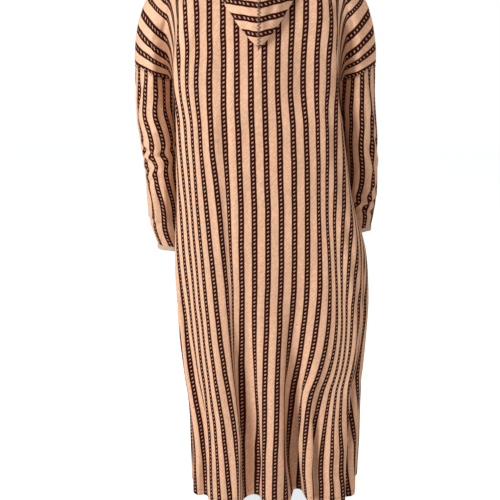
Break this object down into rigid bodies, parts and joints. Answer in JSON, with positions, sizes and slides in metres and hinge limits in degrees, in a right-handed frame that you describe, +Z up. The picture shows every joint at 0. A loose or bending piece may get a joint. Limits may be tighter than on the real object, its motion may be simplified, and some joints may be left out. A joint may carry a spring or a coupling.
{
  "type": "hooded wool robe (djellaba), worn",
  "caption": "Long hooded robe of striped wool with dropped shoulders, straight skirt and a pointed hood hanging down the back, in its worn, hollow form.",
  "frame": {"origin": "middle of the neckline at the base of the wearer's neck, where the shoulders carry the robe", "axes": "+Z up, -Y the front of the wearer, +X the wearer's left"},
  "size_m": [0.6157, 0.3668, 1.4312],
  "materials": {
    "striped_wool": "matt handwoven wool, cream with dark brown bands that hold a row of light pips",
    "cuff_edging": "matt pale wool binding"
  },
  "bodies": {
    "root": {"back": "striped_wool", "front": "striped_wool", "sleeve_left": "striped_wool", "sleeve_right": "striped_wool", "hood_left": "striped_wool", "hood_right": "striped_wool", "cuff_edging_left": "cuff_edging", "cuff_edging_right": "cuff_edging"}
  },
  "joints": []
}
